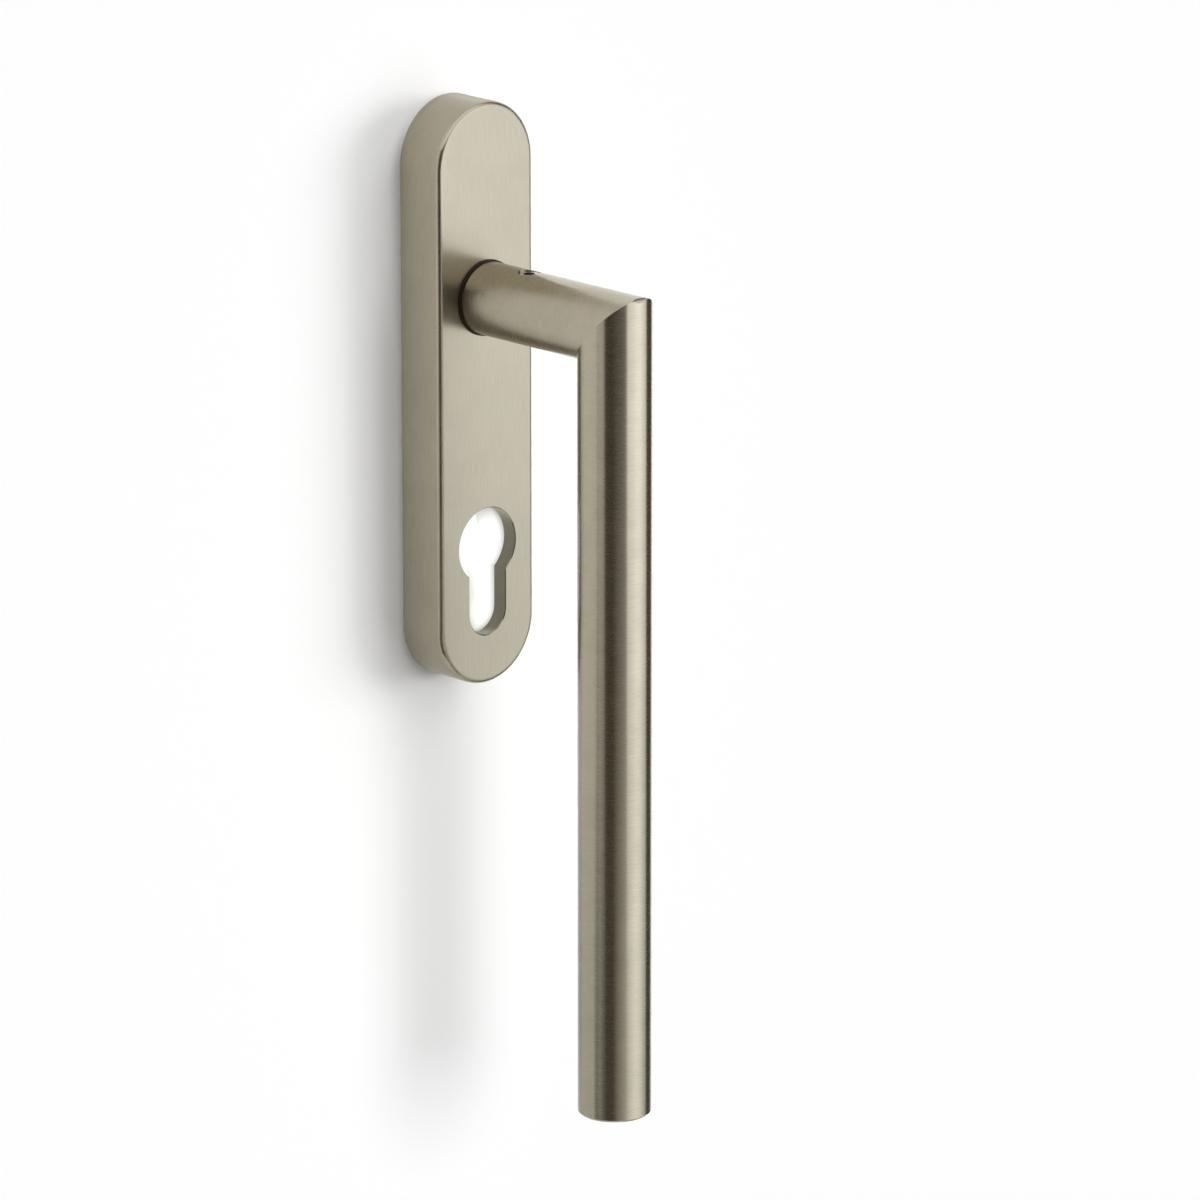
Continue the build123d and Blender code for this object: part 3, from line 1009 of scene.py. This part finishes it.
@dataclass(frozen=True)
class LightTent:
    """A curved cloth round the handle, with its tones at eye level and lower down."""

    radius: float = 0.8
    first: float = 176.0  # bearing of its left end
    last: float = 338.0
    low: float = -1.1
    high: float = 0.38
    lowering: Fade = Fade(-0.2, -0.45, 0.0, 1.0)  # from the upper tones to the lower ones
    top: Fade = Fade(0.29, 0.32, TENT_PEAK, 0.25 * TENT_PEAK)
    bottom: Fade = Fade(-0.85, -0.75, 0.3, 1.0)
    ceiling: StudioSheet = StudioSheet("ceiling", -1.2, 1.4, -1.5, -0.12, 0.62)
    right_flag: StudioCard = StudioCard("right_flag", 338.0, 374.0, 0.25, -1.1, 0.35)
    upper: tuple[Tone, ...] = (
        Tone(176.0, 1.0, 1.0, 1.0),
        Tone(195.5, 1.0, 1.0, 1.0),
        Tone(197.5, 0.2, 0.2, 0.18),
        Tone(206.0, 0.07, 0.055, 0.04),
        Tone(252.0, 0.07, 0.055, 0.04),
        Tone(261.0, 0.22, 0.23, 0.2),
        Tone(263.5, 0.26, 0.27, 0.24),
        Tone(265.5, 1.75, 1.78, 1.82),
        Tone(284.0, 1.98, 2.08, 2.2),
        Tone(298.0, 2.32, 2.43, 2.6),
        Tone(312.0, 2.3, 2.4, 2.56),
        Tone(325.0, 1.86, 1.93, 2.05),
        Tone(338.0, 1.45, 1.48, 1.52),
    )
    lower: tuple[Tone, ...] = (
        Tone(176.0, 0.34, 0.36, 0.34),
        Tone(185.0, 0.31, 0.33, 0.31),
        Tone(187.0, 0.08, 0.065, 0.05),
        Tone(222.0, 0.1, 0.085, 0.065),
        Tone(238.0, 0.5, 0.5, 0.47),
        Tone(266.0, 1.05, 1.08, 1.1),
        Tone(284.0, 1.55, 1.6, 1.66),
        Tone(295.0, 1.74, 1.81, 1.9),
        Tone(312.0, 1.5, 1.54, 1.61),
        Tone(326.0, 1.0, 1.02, 1.05),
        Tone(338.0, 0.75, 0.76, 0.78),
    )

    def ramp(self, tree: Tree, along: Socket, tones: tuple[Tone, ...]) -> Socket:
        """Lays tones out along the cloth.

        Args:
            tree: The cloth's tree.
            along: The share of the way round the cloth.
            tones: The tones in order of bearing.

        Returns:
            The colour, as a share of the peak.
        """
        node = add_node(tree, "ShaderNodeValToRGB", {"Fac": along})
        stops = node.color_ramp.elements
        while len(stops) < len(tones):
            stops.new(1.0)
        for stop, tone in zip(stops, tones):
            stop.position = (tone.bearing - self.first) / (self.last - self.first)
            stop.color = (tone.red / TENT_PEAK, tone.green / TENT_PEAK, tone.blue / TENT_PEAK, 1.0)
        return node.outputs["Color"]

    def cloth(self) -> Material:
        """Makes the cloth's glow.

        Returns:
            The material.
        """
        material, tree, output = new_material("light_tent_cloth")
        place = add_node(tree, "ShaderNodeUVMap", uv_map="card")
        along, share, _ = add_node(tree, "ShaderNodeSeparateXYZ", {0: place.outputs[0]}).outputs
        height = Fade(0.0, 1.0, self.low, self.high).of(tree, share)
        lowered = self.lowering.of(tree, height, interpolation_type="SMOOTHSTEP")
        ramps = {0: lowered, 6: self.ramp(tree, along, self.upper), 7: self.ramp(tree, along, self.lower)}
        tone = add_node(tree, "ShaderNodeMix", ramps, data_type="RGBA").outputs[2]
        both = {0: self.top.of(tree, height), 1: self.bottom.of(tree, height)}
        strength = add_node(tree, "ShaderNodeMath", both, operation="MULTIPLY").outputs[0]
        glow = add_node(tree, "ShaderNodeEmission", {"Color": tone, "Strength": strength})
        tree.links.new(glow.outputs[0], output.inputs["Surface"])
        return material

    def build(self) -> None:
        """Hangs the cloth, a ceiling cloth over it and a dark flag at the right."""
        card = StudioCard("light_tent", self.first, self.last, self.radius, self.low, self.high)
        card.build(self.cloth())
        self.ceiling.build(ShiningCloth("ceiling_cloth", (1.0, 1.0, 1.0), 1.5).material())
        self.right_flag.build(ShiningCloth("black_felt", (0.12, 0.105, 0.08)).material())


@dataclass(frozen=True)
class SunLamp:
    """A far, soft lamp that lights the wall evenly and doesn't show in the metal."""

    name: str
    right: float  # degrees to the right of straight out of the wall
    above: float  # degrees above level
    spread: float  # degrees
    share: float  # of the wall's white
    behind: bool = False  # the wall, for the views of the back

    def hang(self) -> Piece:
        """Hangs the lamp.

        Returns:
            The lamp.
        """
        turn, rise = math.radians(self.right), math.radians(self.above)
        outward = math.cos(turn) * math.cos(rise)
        depth = outward if self.behind else -outward
        towards = Vector((math.sin(turn) * math.cos(rise), depth, math.sin(rise)))
        data = bpy.data.lights.new(self.name, "SUN")
        data.angle = math.radians(self.spread)
        data.energy = self.share * math.pi / outward
        # without this the pieces that a lamp should pass through still stop a part of it
        data.cycles.use_multiple_importance_sampling = False
        lamp = bpy.data.objects.new(self.name, data)
        lamp.rotation_mode = "QUATERNION"
        lamp.rotation_quaternion = towards.to_track_quat("Z", "Y")
        lamp.visible_glossy = False
        lamp.visible_camera = False
        bpy.context.scene.collection.objects.link(lamp)
        LOG.info("hung %s lamp", self.name)
        return lamp


@dataclass(frozen=True)
class Studio:
    """The white wall, the lamps, the light tent that the metal reflects, and the camera."""

    wall_half: float = 2.5
    wall_lift: float = 0.0002  # in front of the plate's back, so that lamps behind reach the back
    # how the wall looks in the metal: two places on it, and how bright or how dim it is there
    wall_glow_share: float = 0.4
    glow_up: Fade = Fade(-0.27, -0.03, 0.6, 1.3)
    glow_right: Fade = Fade(0.0, 0.035, 0.0, 0.8)
    glow_left: Fade = Fade(-0.032, -0.018, 0.0, -0.3)
    dim_low: Fade = Fade(-0.3, -0.18, 0.64, 0.0)
    dim_high: Fade = Fade(0.35, 0.45, 0.0, 0.7)
    far_left: float = -0.19  # only farther left is it dim low down
    fill: float = 0.05  # strength of the white round the studio, for matt surfaces
    key: SunLamp = SunLamp("key", 5.0, 10.0, 33.0, 0.41)
    side_lamps: tuple[SunLamp, ...] = (
        SunLamp("side", 60.0, 0.0, 26.0, 0.27),
        SunLamp("upper_side", 43.0, 38.0, 40.0, 0.15),
        SunLamp("lower_side", 43.0, -22.0, 40.0, 0.135),
        SunLamp("upper_left", -25.0, 40.0, 36.0, 0.02),
    )
    collar: SunLamp = SunLamp("collar", -44.0, 16.0, 20.0, 0.95)
    rear_lamps: tuple[SunLamp, ...] = (
        SunLamp("rear", 25.0, 30.0, 40.0, 0.55, behind=True),
        SunLamp("rear_left", -50.0, 10.0, 40.0, 0.25, behind=True),
    )
    camera_azimuth: float = 44.06
    camera_elevation: float = 15.86
    camera_distance: float = 2.1
    lens: float = 233.2
    sensor_width: float = 36.0
    clip: tuple[float, float] = (0.05, 30.0)
    aim: Triple = (0.0135, -0.0452, -0.0811)

    def world(self) -> None:
        """Sets the world: white to the eye and in the metal, a weak fill for the rest."""
        world = bpy.data.worlds.new("studio")
        bpy.context.scene.world = world
        world.use_nodes = True
        tree = world.node_tree
        tree.nodes.clear()
        path = add_node(tree, "ShaderNodeLightPath").outputs
        seen = path["Is Camera Ray"]
        for ray in ("Is Glossy Ray", "Is Transmission Ray"):
            seen = add_node(tree, "ShaderNodeMath", {0: seen, 1: path[ray]}, operation="MAXIMUM").outputs[0]
        strength = Fade(0.0, 1.0, self.fill, 1.0).of(tree, seen)
        background = add_node(tree, "ShaderNodeBackground", {"Color": WHITE, "Strength": strength})
        output = add_node(tree, "ShaderNodeOutputWorld")
        tree.links.new(background.outputs[0], output.inputs["Surface"])

    def reflected_glow(self, tree: Tree, place: Socket) -> Socket:
        """Works out how brightly the wall glows in the metal: most high up and right, least at the plate.

        Args:
            tree: The wall's tree.
            place: The point on the wall.

        Returns:
            The glow's strength.
        """
        x, _, z = add_node(tree, "ShaderNodeSeparateXYZ", {0: place}).outputs
        total = self.glow_up.of(tree, z)
        for fade in (self.glow_right, self.glow_left):
            parts = {0: total, 1: fade.of(tree, x)}
            total = add_node(tree, "ShaderNodeMath", parts, operation="ADD").outputs[0]
        return total

    def wall_dimming(self, tree: Tree, place: Socket) -> Socket:
        """Works out where the wall looks dimmer in the metal: far left low down, and high up.

        Args:
            tree: The wall's tree.
            place: The point on the wall.

        Returns:
            How much dimmer, from zero to one.
        """
        x, _, z = add_node(tree, "ShaderNodeSeparateXYZ", {0: place}).outputs
        low, high = self.dim_low.of(tree, z), self.dim_high.of(tree, z)
        left = add_node(tree, "ShaderNodeMath", {0: x, 1: self.far_left}, operation="LESS_THAN").outputs[0]
        side = add_node(tree, "ShaderNodeMath", {0: low, 1: left}, operation="MULTIPLY").outputs[0]
        return add_node(tree, "ShaderNodeMath", {0: side, 1: high}, operation="MAXIMUM").outputs[0]

    def wall_paint(self) -> Material:
        """Makes matt paint, white with the handle's soft shadow and a painted white light in the cut-out;
        clear from behind.

        Returns:
            The material.
        """
        material, tree, output = new_material("matt_white_wall_paint")
        geometry = add_node(tree, "ShaderNodeNewGeometry").outputs
        path = add_node(tree, "ShaderNodeLightPath").outputs
        place, reflected = geometry["Position"], path["Is Glossy Ray"]
        paint = add_node(tree, "ShaderNodeBsdfDiffuse", {"Color": linear("fafafa")})
        glow = add_node(
            tree, "ShaderNodeEmission", {"Color": WHITE, "Strength": self.reflected_glow(tree, place)}
        )
        unlit = add_node(tree, "ShaderNodeEmission", {"Strength": 0.0})
        white = add_node(tree, "ShaderNodeEmission", {"Color": WHITE, "Strength": 1.0})
        clear = add_node(tree, "ShaderNodeBsdfTransparent")
        share, dimming, through = (
            add_node(tree, "ShaderNodeMath", {0: ray, 1: value}, operation="MULTIPLY").outputs[0]
            for ray, value in (
                (reflected, self.wall_glow_share),
                (reflected, self.wall_dimming(tree, place)),
                # painted light: to the camera the wall in the cut-out glows plain white, though it lies in
                # the hole's shade
                (path["Is Camera Ray"], inside_cut_out(tree, place)),
            )
        )
        shown = paint
        for amount, other in (
            (share, glow),
            (dimming, unlit),
            (through, white),
            (geometry["Backfacing"], clear),
        ):
            shown = add_node(
                tree, "ShaderNodeMixShader", {0: amount, 1: shown.outputs[0], 2: other.outputs[0]}
            )
        tree.links.new(shown.outputs[0], output.inputs["Surface"])
        return material

    def wall(self) -> None:
        """Builds the wall."""
        mesh = bmesh.new()
        half = self.wall_half
        corners = ((-half, -half), (half, -half), (half, half), (-half, half))
        face = mesh.faces.new([mesh.verts.new((x, -self.wall_lift, z)) for x, z in corners])
        face.normal_update()
        if face.normal.y > 0:
            face.normal_flip()
        wall = link_mesh(mesh, "wall")
        wall.data.materials.append(self.wall_paint())

    def lamps(self, cover: Piece, carrier: Piece) -> None:
        """Hangs the lamps in front of the wall and behind it.

        Args:
            cover: The cover, which stops the side lamps; the grip's shadow comes from the key alone.
            carrier: The white carrier, which stops them too; its collar is lit through the cut-out.
        """
        self.key.hang()
        stops = bpy.data.collections.new("stops_side_lamps")
        for piece in (cover, carrier):
            stops.objects.link(piece)
        for side in self.side_lamps:
            side.hang().light_linking.blocker_collection = stops
        lit = bpy.data.collections.new("lit_by_collar_lamp")
        lit.objects.link(carrier)
        self.collar.hang().light_linking.receiver_collection = lit
        for rear in self.rear_lamps:
            rear.hang()

    def camera(self) -> None:
        """Places the camera where the photograph was taken from."""
        azimuth, elevation = math.radians(self.camera_azimuth), math.radians(self.camera_elevation)
        level = math.cos(elevation)
        forward = Vector((math.sin(azimuth) * level, math.cos(azimuth) * level, -math.sin(elevation)))
        right = Vector((math.cos(azimuth), -math.sin(azimuth), 0))
        up = right.cross(forward)
        data = bpy.data.cameras.new("camera")
        data.lens = self.lens
        data.sensor_width = self.sensor_width
        data.clip_start, data.clip_end = self.clip
        camera = bpy.data.objects.new("camera", data)
        camera.location = Vector(self.aim) - forward * self.camera_distance
        camera.rotation_mode = "QUATERNION"
        camera.rotation_quaternion = Matrix((right, up, -forward)).transposed().to_quaternion()
        bpy.context.scene.collection.objects.link(camera)
        bpy.context.scene.camera = camera

    def build(self, nodes: dict[str, Piece]) -> None:
        """Builds the whole studio.

        Args:
            nodes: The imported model's nodes by name.
        """
        self.world()
        self.wall()
        LightTent().build()
        self.lamps(nodes["cover_plate"], nodes["base_plate"])
        self.camera()
        bpy.context.scene.view_settings.view_transform = "Standard"


def main() -> None:
    """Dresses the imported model, adds the threaded screws and the weld, and builds the studio."""
    logging.basicConfig(level=logging.INFO, format="%(name)s: %(message)s")
    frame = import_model()
    nodes, members = frame["nodes"], frame["record"]["behaviour"]["bodies"]
    finishes = Finishes()
    for assembly in (
        PlateAssembly(finishes, {name: nodes[name] for name in members["plate"]}),
        LeverAssembly(finishes, {name: nodes[name] for name in members["lever"]}),
    ):
        assembly.dress()
        assembly.build()
    Studio().build(nodes)


if __name__ == "__main__":
    main()
